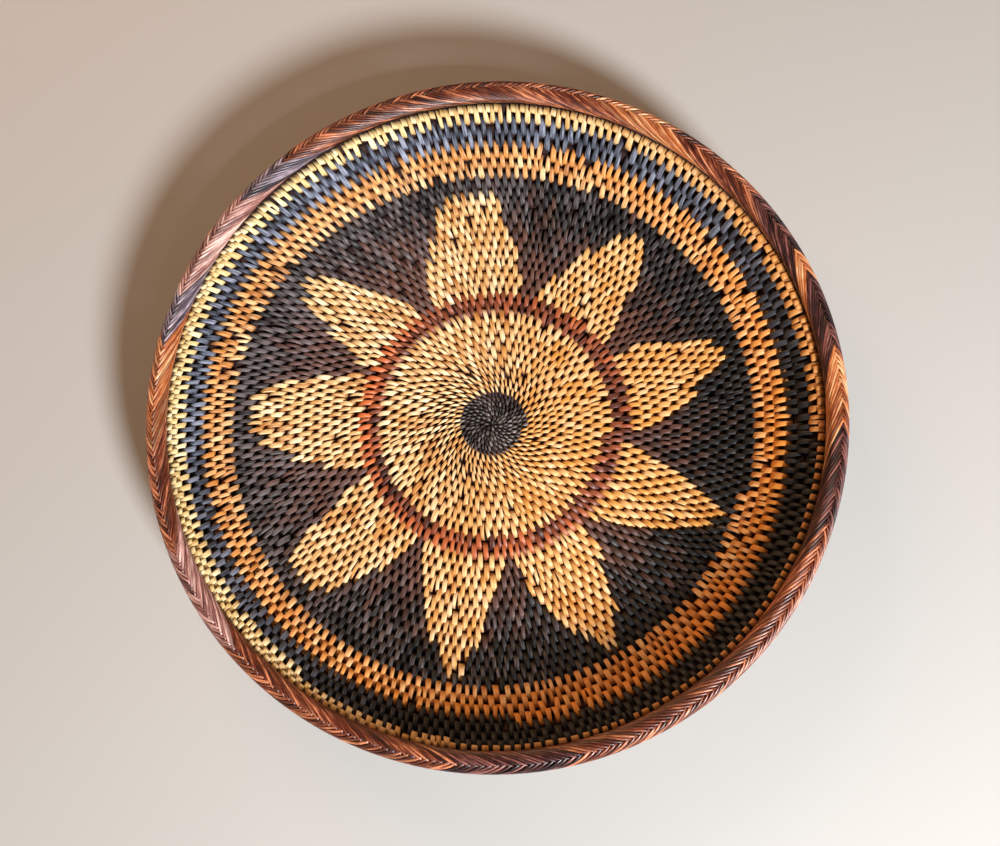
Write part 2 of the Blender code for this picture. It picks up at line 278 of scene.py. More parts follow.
# %% [markdown]
# ## How close the stitches are, and how they lean
# The stitches are narrow at the button and grow with the bundle. They also lean: a good deal
# round the button, which makes the swirl in the middle, and less further out. Both are written
# as short tables against the turns of the coil, and numpy reads between their entries.

# %% Space and lean the stitches
SPACING_TURNS = (-1, 0, 5, 6, 8, 10, 26, 30, 37)
SPACING_SIZES = np.array([1.5, 2.0, 2.7, 3.1, 3.9, 4.55, 4.6, 4.9, 5.1]) * MM
LEAN_TURNS = (0, 4, 8, 11, 15, 22, 28, 31, 37)
LEAN_DEGREES = (12, 24, 34, 21, 15, 12, 13, 14, 15)
LEAN_SWING_SHARES = (0.05, 0.1, 0.15, 0.3, 0.4, 0.42, 0.43, 0.45, 0.45)
LEAN_MIDDLE = math.radians(290)


def lean_at(turns):
    """How far a stitch leans from the line out of the centre, which is not the same all round."""
    swing = np.interp(turns, LEAN_TURNS, LEAN_SWING_SHARES)
    share = 1 - swing + swing * np.cos(START_ANGLE + 2 * math.pi * turns - LEAN_MIDDLE)
    return np.radians(share * np.interp(turns, LEAN_TURNS, LEAN_DEGREES))


def once_round(turns):
    """Length once round the tray, along the middle of a row."""
    return 2 * math.pi * dish((row_edge(turns) + row_edge(turns + 1)) / 2)[0]


print("outermost row:", round(float(once_round(COIL_TURNS - 1)), 3), "m round")

# %% [markdown]
# ## Where each stitch goes
# Each stitch goes round two rows: it holds the new bundle to the one inside it, and its foot
# comes up between two stitches that are there already. So the stitches lie side by side like
# bricks, each two rows long, and only small holes are left between their ends. Where a gap has
# grown too wide the maker puts two stitches in it. The same rule is followed here, one stitch
# after another, with a running tally of the room that is left.

# %% Lay the stitches
LAYING_SEED = 11
FIRST_TURN = -1
LAST_TURN = COIL_TURNS + 0.8
FIRST_HEADS = 7
FIRST_ROOM_SHARE = 1 / 8
SMALLEST_PITCH = 1 * MM
PAIR_FROM_SHARES = (0.3, 0.7)
SKIP_FROM_SHARE = 0.7
PAIR_FOOT_SHARE = 0.22
PAIR_HEAD_SHARE = 0.27
PAIR_ROOM_SHARE = 0.72
EVENING_SHARE = 0.3


def lay_stitches():
    """Turn at the head of every stitch, turn at its foot in the row inside, and room at the foot."""
    chance = np.random.default_rng(LAYING_SEED)
    heads = list(np.linspace(FIRST_TURN, FIRST_TURN + 1, FIRST_HEADS + 1)[:-1])
    feet = [head - 1 for head in heads]
    foot_rooms = [FIRST_ROOM_SHARE] * len(heads)
    index = 0
    room = 0.0
    while heads[-1] < LAST_TURN:
        gap = heads[index + 1] - heads[index]
        foot = (heads[index] + heads[index + 1]) / 2
        pitch = max(float(row_edge(foot + 2) - row_edge(foot)) / 2, SMALLEST_PITCH)
        round_length = float(once_round(foot + 1))
        head = foot + 1 - math.tan(lean_at(foot + 1)) * pitch / round_length
        room += gap * round_length / np.interp(head, SPACING_TURNS, SPACING_SIZES) - 1
        if room > chance.uniform(*PAIR_FROM_SHARES):
            heads += [head - PAIR_HEAD_SHARE * gap, head + PAIR_HEAD_SHARE * gap]
            feet += [foot - PAIR_FOOT_SHARE * gap, foot + PAIR_FOOT_SHARE * gap]
            foot_rooms += [PAIR_ROOM_SHARE * gap, PAIR_ROOM_SHARE * gap]
            room -= 1
        elif room < -SKIP_FROM_SHARE:
            room += 1
        else:
            heads.append(head)
            feet.append(foot)
            foot_rooms.append(gap)
        index += 1
        heads[-2] += EVENING_SHARE * ((heads[-3] + heads[-1]) / 2 - heads[-2])
    return np.array(heads), np.array(feet), np.array(foot_rooms)


stitch_turns, stitch_feet, foot_rooms = lay_stitches()
print("stitches:", len(stitch_turns))

# %% [markdown]
# ## No two stitches alike
# Hand sewing is never exact, so each stitch gets its own small changes of place, width, length
# and height. They are drawn once from a fixed seed, so every run gives the same tray. A stitch
# fills somewhat over half of its room, and in the outer rows it is wider at its foot.

# %% Give each stitch its own character
CHARACTER_SEED = 23
FILL_TURNS = (0, 5, 8, 22, 30, 37)
FILL_SHARES = (0.68, 0.67, 0.62, 0.58, 0.57, 0.57)
FLARE_TURNS = (20, 31, 37)
FLARE_SHARES = (0, 0.09, 0.12)
HEAD_ROOM_SHARES = (0.75, 1.2)
FOOT_ROOM_SHARES = (0.7, 1.15)
END_SLANT = math.radians(4)
# each chance: middle, spread, lowest, highest
WIDTH_CHANCE_SHARES = (1, 0.05, 0.88, 1.12)
FOOT_CHANCE_SHARES = (0, 0.03, -0.07, 0.07)
HEAD_CHANCE_SHARES = (0, 0.02, -0.05, 0.05)
LIFT_CHANCE = (0, 0.12 * MM, -0.25 * MM, 0.3 * MM)
TWIST_SPREAD_DEGREES = 2.5
GRAIN_ROOM = 900

dice = np.random.default_rng(CHARACTER_SEED)
count = len(stitch_turns)


def by_chance(middle, spread, lowest, highest):
    """A number for each stitch, near the middle and never past the two ends."""
    return dice.normal(middle, spread, count).clip(lowest, highest)


stitch_degrees = START_DEGREES + 360 * (stitch_turns % 1)
stitch_lean = lean_at(stitch_turns)
end_slant = np.tan(stitch_lean + END_SLANT)
usual_room = np.interp(stitch_turns, SPACING_TURNS, SPACING_SIZES)
width_share = np.interp(stitch_turns, FILL_TURNS, FILL_SHARES) * by_chance(*WIDTH_CHANCE_SHARES)
width_share *= np.cos(stitch_lean)


def stitch_widths(rooms, turns, least, most):
    """Widths that fill their share of the room, which is held near the usual one for that row."""
    return width_share * np.clip(rooms * once_round(turns), least * usual_room, most * usual_room)


flare = np.interp(stitch_turns, FLARE_TURNS, FLARE_SHARES)
head_width = stitch_widths(np.gradient(stitch_turns), stitch_turns, *HEAD_ROOM_SHARES) * (1 - flare)
foot_width = stitch_widths(foot_rooms, stitch_feet, *FOOT_ROOM_SHARES) * (1 + flare)
foot_shift = by_chance(*FOOT_CHANCE_SHARES)
head_shift = by_chance(*HEAD_CHANCE_SHARES)
stitch_lift = by_chance(*LIFT_CHANCE)
stitch_twist = np.tan(np.radians(dice.normal(0, TWIST_SPREAD_DEGREES, count)))
# a tone of its own for each stitch; the tone of the star ground is later lowered as painted shade
stitch_tone_and_shade = dice.uniform(0, 1, count)
stitch_start = dice.uniform(0, GRAIN_ROOM, count)
print("stitch width:", round(float(head_width.mean()) / MM, 2), "mm")

# %% [markdown]
# ## The shape of one stitch
# A stitch is a closed loop of split cane. It comes up out of a hole with a blunt, rounded end,
# arches over two rows, and goes down into the next hole and back underneath. The loop is written
# once as a short table of shares, and so is the section of the cane: nearly flat on top, with
# rounded edges. The other tables say how far a loop reaches past the edge of its row at each end,
# or, where they are below nought, how far it stops short of it.

# %% Draw the loop
LOOP_SHARES = np.array([
    # along, height, width
    (0.000, -0.10, 0.98),
    (0.006, 0.34, 1.02),
    (0.035, 0.58, 1.03),
    (0.110, 0.88, 1.02),
    (0.260, 1.26, 1.00),
    (0.480, 1.50, 0.99),
    (0.690, 1.30, 1.00),
    (0.860, 0.92, 1.02),
    (0.955, 0.58, 1.03),
    (0.994, 0.30, 1.02),
    (1.000, -0.20, 0.97),
    (0.960, -0.62, 0.92),
    (0.800, -0.86, 0.94),
    (0.450, -0.90, 0.96),
    (0.150, -0.82, 0.96),
    (0.015, -0.45, 0.92),
])
LOOP_ALONG, LOOP_HEIGHT, LOOP_WIDTH = LOOP_SHARES.T
STRIP_SHARES = np.array([(-1, 0), (-0.93, 0.7), (-0.72, 0.95), (0.72, 1), (0.93, 0.75), (1, 0), (0, -0.42)])
REACH_TURNS = (-1, 0, 5.1, 5.3, 11, 28, 32)
INNER_REACH_SHARES = (0.1, 0.2, 0.3, 0.42, 0.72, 0.76, 0.7)
OUTER_REACH_SHARES = (-0.3, -0.3, -0.3, -0.34, -0.2, -0.18, -0.28)
LOOP_HEIGHT_SHARE = 0.405
STRIP_THICKNESS_SHARE = 0.15
print("points in a stitch:", len(LOOP_SHARES) * len(STRIP_SHARES))

# %% [markdown]
# ## From a path to a strip
# Blender could bevel a curve, but thousands of curves are slow to make. Instead numpy carries
# the section along every path at once: at each point it needs the direction along the path, and
# the direction that points away from the tray. The third one, across the strip, follows.

# %% Sweep a strip
def unit(vectors):
    """The same directions, each one long."""
    return vectors / np.linalg.norm(vectors, axis=-1, keepdims=True)


def past_each_point(loops):
    """From the point before to the point after, on closed loops."""
    return np.roll(loops, -1, axis=1) - np.roll(loops, 1, axis=1)


def sweep(path, along, outward, half_width, thickness, section):
    """Strips along paths: strips x steps x section x 3. outward points away from the tray."""
    along = unit(along)
    across = unit(np.cross(outward, along))
    outward = np.cross(along, across)
    wide = half_width[..., None, None] * section[:, 0, None]
    thick = np.asarray(thickness)[..., None, None] * section[:, 1, None]
    return path[:, :, None] + across[:, :, None] * wide + outward[:, :, None] * thick


print("a strip has", len(STRIP_SHARES), "sides")

# %% [markdown]
# ## Bending the loops
# A loop starts between two heads of the row inside and ends at its own head, so it is bent along
# the wall and, by its lean, round the tray. Its ends are slanted until they lie nearly along the
# rows, because each end goes down between two rows.

# %% Bend the stitches
LOOP_START = 0.2 * MM
TWIST_RADIUS = 3 * MM
SMALL_STEP = 0.01 * MM
FOOTWARD_SHARES = (-0.7, 1.6)


def loop_places(chosen):
    """Where the loops of the chosen stitches run: arc, offset, angle, and how near the foot."""
    turns = stitch_turns[chosen, None]
    inside = row_edge(turns)
    row = inside - row_edge(turns - 1)
    inner_reach = np.interp(turns, REACH_TURNS, INNER_REACH_SHARES) + foot_shift[chosen, None]
    outer_reach = np.interp(turns, REACH_TURNS, OUTER_REACH_SHARES) + head_shift[chosen, None]
    first = np.maximum(inside - inner_reach * row, LOOP_START)
    last = row_edge(turns + 1) + outer_reach * row
    arc = first + LOOP_ALONG * (last - first)
    lift = np.where(LOOP_HEIGHT > 0, stitch_lift[chosen, None], 0)
    offset = LOOP_HEIGHT * (LOOP_HEIGHT_SHARE * bundle_pitch(turns) + lift)
    head_arc = (free_edge(turns) + free_edge(turns + 1)) / 2
    foot_arc = (free_edge(turns - 1) + free_edge(turns)) / 2
    footward = np.clip((head_arc - arc) / (head_arc - foot_arc), *FOOTWARD_SHARES)
    angle = START_ANGLE + 2 * math.pi * (turns + footward * (stitch_feet[chosen, None] + 1 - turns))
    angle += stitch_twist[chosen, None] * (inside - arc) / np.maximum(dish(arc)[0], TWIST_RADIUS)
    return arc, offset, angle, np.clip(footward, 0, 1)


def bend_stitches(chosen):
    """Paths, strips and half widths of the chosen stitches."""
    arc, offset, angle, near_foot = loop_places(chosen)
    pitch = bundle_pitch(stitch_turns[chosen, None])
    path = wall_points(arc, offset, angle)
    outwards = unit(wall_points(arc, offset + SMALL_STEP, angle) - path)
    radially = unit(wall_points(arc + SMALL_STEP, offset, angle) - path)
    run = past_each_point(arc) / pitch / LOOP_HEIGHT_SHARE
    rise = past_each_point(LOOP_HEIGHT[None])[0]
    outward = unit(outwards * run[..., None] - radially * rise[:, None])
    width = head_width[chosen, None] * (1 - near_foot) + foot_width[chosen, None] * near_foot
    half_width = width / 2 * LOOP_WIDTH
    thickness = STRIP_THICKNESS_SHARE * pitch
    strips = sweep(path, past_each_point(path), outward, half_width, thickness, STRIP_SHARES)
    clockwise = unit(np.cross(radially, outwards))
    sideways = ((strips - path[:, :, None]) * clockwise[:, :, None]).sum(axis=-1, keepdims=True)
    strips -= end_slant[chosen, None, None, None] * sideways * radially[:, :, None]
    return path, strips, half_width


print("first stitch starts", round(float(loop_places(np.array([0]))[0][0, 0]) / MM, 2), "mm out")

# %% [markdown]
# ## Marks for the finish
# Each strip also carries three marks that its finish reads: where a point lies on the strip in
# millimetres, so that the grain runs along the cane; a tone of its own, with how near the point is
# to an end and to an edge of the strip, where shade is painted; and how far dye and painted shade
# have taken it towards its second colour. Marks on the mesh stay with it in any view and in an export.

# %% Mark the strips
GRAIN_ALONG_SHARE = 3.7
GRAIN_DEPTH_SHARE = 1.3
ROUND_GRAIN = 3 * MM
ROUND_TONE_SHARE = 0.5


def strip_marks(path, half_width, start, tone, dye_and_shade, across, ends):
    """Marks of strips: grain is across and along in millimetres; stitch is tone, end, edge, and end and edge
    place the painted crevice shade.
    """
    start, tone, dye_and_shade = (values[:, None, None] for values in (start, tone, dye_and_shade))
    steps = np.linalg.norm(np.diff(path, axis=1, prepend=path[:, :1]), axis=-1).cumsum(axis=1)
    shape = (*half_width.shape, len(across))
    wide = half_width[..., None] * across / MM + start
    along = np.broadcast_to(steps[..., None] / MM + start * GRAIN_ALONG_SHARE, shape)
    grain = np.stack([wide, along, np.broadcast_to(start * GRAIN_DEPTH_SHARE, shape)], axis=-1)
    end = np.broadcast_to(ends[:, None], shape)
    edge = np.broadcast_to(np.abs(across), shape)
    stitch = np.stack([np.broadcast_to(tone, shape), end, edge], axis=-1)
    return {"grain": grain, "stitch": stitch, "dye_and_shade": np.broadcast_to(dye_and_shade, shape)}


def round_marks(path, sides):
    """Marks of one long round strip: the grain goes round its section, and it has no painted shade at its
    ends.
    """
    half_width = np.full(path.shape[:2], ROUND_GRAIN)
    tone = np.full(1, ROUND_TONE_SHARE)
    return strip_marks(path, half_width, np.zeros(1), tone, np.zeros(1), np.linspace(0, 0.5, sides),
                       np.zeros(path.shape[1]))


print("marks: grain, stitch, dye")

# %% [markdown]
# ## From strips to a piece
# The strips of a piece become one mesh. Its points and faces are handed to Blender as whole
# arrays, which is far quicker than one by one. Each piece rides on the body of the tray, takes
# the place of its CAD nodes and carries its finish.

# %% Turn strips into a mesh
def strip_mesh(name, points, closed, marks):
    """One mesh of many strips, each with a closed skin."""
    strips, steps, section = points.shape[:3]
    index = np.arange(strips * steps * section).reshape(strips, steps, section)
    near = index if closed else index[:, :-1]
    far = np.roll(index, -1, axis=1) if closed else index[:, 1:]
    quads = np.stack([near, far, np.roll(far, -1, axis=2), np.roll(near, -1, axis=2)], axis=-1).reshape(-1, 4)
    corners = quads.ravel()
    sizes = np.full(len(quads), 4)
    if not closed:
        caps = np.concatenate([index[:, 0], index[:, -1, ::-1]])
        corners = np.concatenate([corners, caps.ravel()])
        sizes = np.concatenate([sizes, np.full(len(caps), section)])
    mesh = bpy.data.meshes.new(name)
    mesh.vertices.add(index.size)
    mesh.vertices.foreach_set("co", points.astype(np.float32).ravel())
    mesh.loops.add(len(corners))
    mesh.loops.foreach_set("vertex_index", corners.astype(np.int32))
    mesh.polygons.add(len(sizes))
    mesh.polygons.foreach_set("loop_start", (np.cumsum(sizes) - sizes).astype(np.int32))
    mesh.update(calc_edges=True)
    for mark, values in marks.items():
        vector = values.ndim == 4
        layer = mesh.attributes.new(mark, "FLOAT_VECTOR" if vector else "FLOAT", "POINT")
        layer.data.foreach_set("vector" if vector else "value", values.astype(np.float32).ravel())
    mesh.shade_smooth()
    return mesh


def add_piece(name, mesh, finish, slot, *nodes):
    """A piece of the tray that stands for its CAD nodes and carries its finish; the slot is not used."""
    piece = bpy.data.objects.new(name, mesh)
    mesh.materials.append(finish)
    bpy.context.scene.collection.objects.link(piece)
    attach(piece, "root")
    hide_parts(*nodes)


# %% [markdown]
# ## Wiring a finish
# A finish is a small network of nodes. These helpers add a node with its settings and inputs in
# one line, so that the recipe of the cane can be read from top to bottom.

# %% Wire the nodes
def add_node(tree, kind, settings=(), **inputs):
    """Node with settings, and with each input, by its name or as i and its number, set or wired."""
    node = tree.nodes.new(kind)
    for key, value in dict(settings).items():
        setattr(node, key, value)
    for key, value in inputs.items():
        socket = node.inputs[int(key[1:])] if key[0] == "i" and key[1:].isdigit() else node.inputs[key]
        if isinstance(value, bpy.types.NodeSocket):
            tree.links.new(value, socket)
        else:
            socket.default_value = value
    return node


def read_mark(tree, name, output):
    """What a mark on the mesh says."""
    return add_node(tree, "ShaderNodeAttribute", {"attribute_name": name}).outputs[output]


def times_plus(tree, value, factor, rest):
    """The value times a factor, plus the rest."""
    node = add_node(tree, "ShaderNodeMath", {"operation": "MULTIPLY_ADD"}, i0=value, i1=factor, i2=rest)
    return node.outputs[0]


def shade_by(tree, colour, factor, amount, tint):
    """Colour drawn towards a tint as the factor goes to one, by at most this amount."""
    share = add_node(tree, "ShaderNodeMath", {"operation": "MULTIPLY"}, i0=factor, i1=amount).outputs[0]
    mix = add_node(tree, "ShaderNodeMix", {"data_type": "RGBA"}, i0=share, i6=colour, i7=to_linear(tint))
    return mix.outputs[2]


def rise_from(tree, value, low):
    """Nought below low, then rising to one where the value is one."""
    settings = {"interpolation_type": "SMOOTHSTEP"}
    return add_node(tree, "ShaderNodeMapRange", settings, i0=value, i1=low, i2=1.0).outputs[0]


print("helpers: add_node, read_mark, times_plus, shade_by, rise_from")

# %% [markdown]
# ## Split cane
# Each splint shows fine fibres along its length, a satin shine and a shade of its own. Its edges
# and its ends, which go down into the holes, are darker: that is painted shade of the holes and of
# the crevices between the stitches. The grain is a noise that is stretched along the strip; it
# colours the cane, roughens it and gives it fine relief. A second, wide noise makes whole areas of
# the tray a little lighter or darker.

# %% Make split cane
FIBRES = 2.1
RELIEF_SHARE = 0.35
ALONG_FIBRES = 0.14
STREAK_DETAIL = 3.0
STREAK_ROUGHNESS = 0.6
PATCH_SCALE = 38.0
PATCH_DETAIL = 2.0
PATCH_SHARE = 0.3
TONE_SHARE = 0.3
DARK_SHARE = 0.42
MIDDLE_SHARE = 0.64
LIGHT_SHARE = 0.9
# painted shade: how far the ends and edges of a strip are darkened towards the crevice colour, for the shade
# in the holes and between the stitches
END_SHADE_FROM_SHARE = 0.55
END_SHADE_SHARE = 0.55
EDGE_SHADE_FROM_SHARE = 0.8
EDGE_SHADE_SHARE = 0.6
STREAK_LOW = 0.3
STREAK_HIGH = 0.7
ROUGHER = 0.12
SMOOTHER = 0.08
COAT_ROUGHNESS = 0.3
RELIEF_DEPTH = 0.12 * MM


def three_tones(tree, blend, dark, middle, light):
    """Colour that goes from dark to light as the blend rises."""
    ramp = add_node(tree, "ShaderNodeValToRGB", Fac=blend)
    low, high = ramp.color_ramp.elements
    low.position = DARK_SHARE
    low.color = to_linear(dark)
    high.position = LIGHT_SHARE
    high.color = to_linear(light)
    ramp.color_ramp.elements.new(MIDDLE_SHARE).color = to_linear(middle)
    return ramp.outputs[0]


def cane_colour(tree, streak, dark, middle, light, second, crevice_shade):
    """Streaks and the tone of the splint, then its second colour, then painted shade at its ends and edges.
    """
    tone, end, edge = add_node(tree, "ShaderNodeSeparateXYZ", i0=read_mark(tree, "stitch", "Vector")).outputs
    place = add_node(tree, "ShaderNodeTexCoord").outputs["Object"]
    patch = add_node(tree, "ShaderNodeTexNoise", Vector=place, Scale=PATCH_SCALE,
                     Detail=PATCH_DETAIL).outputs[0]
    blend = times_plus(tree, tone, TONE_SHARE, -TONE_SHARE / 2)
    blend = times_plus(tree, streak, 1.0, blend)
    blend = times_plus(tree, patch, PATCH_SHARE, blend)
    colour = three_tones(tree, blend, dark, middle, light)
    colour = shade_by(tree, colour, read_mark(tree, "dye_and_shade", "Fac"), 1.0, second)
    # painted shade: ends and edges go towards the crevice colour, where shade falls in the holes and between
    # the stitches
    colour = shade_by(tree, colour, rise_from(tree, end, END_SHADE_FROM_SHARE), END_SHADE_SHARE, crevice_shade)
    return shade_by(tree, colour, rise_from(tree, edge, EDGE_SHADE_FROM_SHARE), EDGE_SHADE_SHARE, crevice_shade)


def splint_finish(name, dark, middle, light, second, crevice_shade, roughness, fibres=FIBRES, relief=RELIEF_SHARE,
                  polish=0.0):
    """Split cane: three tones of one colour, a second colour for dye and painted shade, and the colour of the
    painted shade in its crevices.
    """
    finish = bpy.data.materials.new(name)
    finish.use_nodes = True
    tree = finish.node_tree
    shader = tree.nodes["Principled BSDF"]
    grain = read_mark(tree, "grain", "Vector")
    stretched = add_node(tree, "ShaderNodeMapping", i0=grain, i3=(fibres, ALONG_FIBRES, 1.0)).outputs[0]
    streak = add_node(tree, "ShaderNodeTexNoise", Vector=stretched, Scale=1.0, Detail=STREAK_DETAIL,
                      Roughness=STREAK_ROUGHNESS).outputs[0]
    gloss = add_node(tree, "ShaderNodeMapRange", i0=streak, i1=STREAK_LOW, i2=STREAK_HIGH,
                     i3=roughness + ROUGHER, i4=roughness - SMOOTHER)
    bump = add_node(tree, "ShaderNodeBump", Strength=relief, Distance=RELIEF_DEPTH, Height=streak)
    colour = cane_colour(tree, streak, dark, middle, light, second, crevice_shade)
    tree.links.new(colour, shader.inputs["Base Color"])
    tree.links.new(gloss.outputs[0], shader.inputs["Roughness"])
    tree.links.new(bump.outputs[0], shader.inputs["Normal"])
    shader.inputs["Coat Weight"].default_value = polish
    shader.inputs["Coat Roughness"].default_value = COAT_ROUGHNESS
    return finish


print("grain is stretched", round(FIBRES / ALONG_FIBRES), "times along the cane")

# %% [markdown]
# ## The colours of the cane
# Only the colours differ from band to band, so one recipe makes every finish. Each has a dark, a
# middle and a light tone, the colour that its dye and painted shade drift to, and the colour of the
# painted shade in its crevices. The dark splints look rougher than the plain ones, so they get a
# coarser grain with deeper relief.

# %% Mix the finishes
SATIN = 0.5
COARSE = {"fibres": 1.7, "relief": 0.6}

natural_cane = splint_finish("natural_cane", (0.70, 0.43, 0.19), (0.94, 0.79, 0.54), (1.0, 0.95, 0.80),
                             (0.86, 0.58, 0.19), (0.50, 0.18, 0.05), roughness=SATIN)
orange_cane = splint_finish("orange_cane", (0.52, 0.28, 0.12), (0.86, 0.64, 0.41), (1.0, 0.90, 0.68),
                            (0.94, 0.60, 0.24), (0.42, 0.15, 0.03), roughness=SATIN)
pale_cane = splint_finish("pale_cane", (0.82, 0.65, 0.39), (0.95, 0.85, 0.60), (1.0, 0.95, 0.79),
                          (0.84, 0.55, 0.26), (0.50, 0.28, 0.10), roughness=SATIN)
red_cane = splint_finish("red_cane", (0.14, 0.055, 0.045), (0.30, 0.13, 0.10), (0.58, 0.34, 0.26),
                         (0.88, 0.46, 0.24), (0.12, 0.03, 0.02), roughness=0.48)
dark_cane = splint_finish("dark_cane", (0.03, 0.028, 0.03), (0.10, 0.088, 0.09), (0.42, 0.38, 0.38),
                          (0.44, 0.27, 0.21), (0.03, 0.015, 0.015), roughness=0.6, **COARSE)
black_cane = splint_finish("black_cane", (0.11, 0.12, 0.15), (0.31, 0.33, 0.39), (0.62, 0.64, 0.71),
                           (0.05, 0.035, 0.025), (0.03, 0.025, 0.03), roughness=0.55, **COARSE)
charcoal_cane = splint_finish("charcoal_cane", (0.09, 0.08, 0.075), (0.24, 0.22, 0.21), (0.60, 0.56, 0.54),
                              (0.22, 0.15, 0.16), (0.03, 0.02, 0.018), roughness=0.4)
print("finishes:", len(bpy.data.materials))

# %% [markdown]
# ## The pattern
# The maker changes to a dyed splint where the pattern asks for it, so a colour belongs to whole
# stitches and never cuts through one. The star is a traditional one: nine petals, each narrowing
# to its tip. The bands start and stop at the angles where the maker changed splint, and one late
# run of black lies in the pale edge.

# %% Read the pattern
# how many turns after the seam the outer bands start
ORANGE_LATE = 0.03
BLACK_LATE = 0.22
PALE_LATE = 0.33
# how many turns before the end of the coil the late run of black stops
LATE_BLACK_REST = 0.53
FINE_FROM = BUTTON_ROWS + SEAM_LAG
RED_FROM = RED_START + SEAM_LAG
STAR_FROM = STAR_START + SEAM_LAG
ORANGE_FROM = ORANGE_START + SEAM_LAG + ORANGE_LATE
BLACK_FROM = BLACK_START + SEAM_LAG + BLACK_LATE
PALE_FROM = PALE_START + SEAM_LAG + PALE_LATE
LATE_BLACK_FROM = COIL_TURNS + SEAM_LAG - 1
LATE_BLACK_TO = COIL_TURNS - LATE_BLACK_REST
PETALS = [
    # degrees of the two sides at the foot, degrees of the two sides at the tip, length share
    (331.5, 373.5, 348, 360, 0.855),
    (377.5, 415.5, 396, 400, 0.855),
    (418.5, 455, 432, 434, 0.895),
    (458.5, 493.5, 472, 474, 0.88),
    (497.5, 532, 510.5, 513, 0.905),
    (535, 570.5, 546.5, 549, 0.905),
    (571, 608.5, 586, 595, 0.85),
    (609.5, 652, 627, 637, 0.86),
    (653.5, 688.5, 665.5, 669.5, 0.865),
]
star_share = (stitch_turns - STAR_FROM) / (ORANGE_START - STAR_START)
in_star = (stitch_turns >= STAR_FROM) & (stitch_turns < ORANGE_FROM)


def in_petal(first, last, tip_first, tip_last, length_share):
    """Which stitches lie between the two sides of a petal."""
    share = star_share / length_share
    low = first + share * (tip_first - first)
    high = last + share * (tip_last - last)
    degrees = low + (stitch_degrees - low) % 360
    return in_star & (share < 1) & (degrees < high)


stitch_petal = np.zeros(count, int)
for number, petal in enumerate(PETALS, start=1):
    stitch_petal[in_petal(*petal)] = number
print("petal stitches:", [int((stitch_petal == number).sum()) for number in range(1, len(PETALS) + 1)])

# %% [markdown]
# ## The dye and painted shade of each stitch
# No colour is even all round. The ring goes from red-brown to orange by its own dye. The rest of the
# change round the tray is painted shade: the natural and pale cane are golden and darker on the
# right side, the orange cane is deeper orange on the near side, and the black cane is bluish on the
# far side and brown-black on the near side. So each stitch gets a share of its second colour, by its
# angle and its row, with some chance added. The far and near sides of the button are duller at its
# edge, which is painted shade too.

# %% Dye the stitches and paint their shade
# angles where the painted shade is strongest: the right side and the near side
RIGHT_SHADE_MIDDLE = 105
NEAR_SHADE_MIDDLE = 140
# base and swing of the painted shade that changes round the tray
NATURAL_SHADE_SHARES = (0.34, 0.3)
ORANGE_SHADE_SHARES = (0.2, 0.25)
BLACK_SHADE_SHARES = (0.5, 0.8)
PALE_SHADE_SHARES = (0.3, 0.65)
RING_DEGREES = (0, 30, 60, 90, 120, 160, 180, 205, 230, 260, 285, 320, 345, 360)
RING_DYE_SHARES = (0.3, 0.25, 0.3, 0.1, 0.1, 0.3, 0.6, 0.6, 0.35, 0.85, 0.9, 0.5, 0.3, 0.3)
FIRST_RING_SHARE = 0.25
BUTTON_SHADE_POWER = 3
ORANGE_ROW_SHARE = 0.16
PALE_ROW_SHARE = 0.1
BLACK_SHADE_MOST_SHARE = 0.95
PALE_MOST_SHARE = 0.9


def painted_round_shade(middle, base, swing):
    """Painted shade that is strongest at one angle of the tray, and weakest across from it."""
    return base + swing * np.cos(np.radians(stitch_degrees - middle))


def uneven(dye_and_shade, spread, most, middle=0.0):
    """The dye and painted shade, with a chance of its own for each stitch, held from none to a most."""
    return np.clip(dye_and_shade + dice.normal(middle, spread, count), 0, most)


plain_dye = np.zeros(count)
# natural cane: painted shade, golden and darker towards the right side, with a tone of its own for each
# stitch
natural_dye_and_shade = uneven(painted_round_shade(RIGHT_SHADE_MIDDLE, *NATURAL_SHADE_SHARES), spread=0.1, most=0.8)
# button: painted shade, duller at the far and near sides of its outer rows
button_painted_shade = np.abs(np.cos(np.radians(stitch_degrees))) ** BUTTON_SHADE_POWER
button_painted_shade = np.clip(button_painted_shade * (2 * stitch_turns / BUTTON_ROWS - 1), 0, 1)
ring_dye = np.interp(stitch_degrees % 360, RING_DEGREES, RING_DYE_SHARES)
ring_dye *= np.where(stitch_turns < RED_FROM + 1, FIRST_RING_SHARE, 1)
ring_dye = uneven(ring_dye, spread=0.16, most=1, middle=0.08)
# orange band: painted shade, deeper orange on the near side, and more towards the outer rows
orange_dye_and_shade = painted_round_shade(NEAR_SHADE_MIDDLE, *ORANGE_SHADE_SHARES) + ORANGE_ROW_SHARE * (stitch_turns - ORANGE_FROM)
orange_dye_and_shade = uneven(orange_dye_and_shade, spread=0.12, most=1)
# black band: painted shade, brown-black on the near side
black_painted_shade = np.clip(painted_round_shade(NEAR_SHADE_MIDDLE, *BLACK_SHADE_SHARES), 0, BLACK_SHADE_MOST_SHARE)
# pale edge: painted shade, orange-brown on the right side, and more in the outer rows
pale_dye_and_shade = painted_round_shade(RIGHT_SHADE_MIDDLE, *PALE_SHADE_SHARES) + PALE_ROW_SHARE * (stitch_turns - PALE_FROM)
pale_dye_and_shade = np.clip(pale_dye_and_shade, 0, PALE_MOST_SHARE)
print("mean dye of the ring:", round(float(ring_dye.mean()), 2))

# %% [markdown]
# ## Sewing the bands
# Every colour area of the CAD model is replaced by its own stitches, from the knot outwards. One
# row of the table says which stitches a piece has, how they are dyed and which node it replaces.

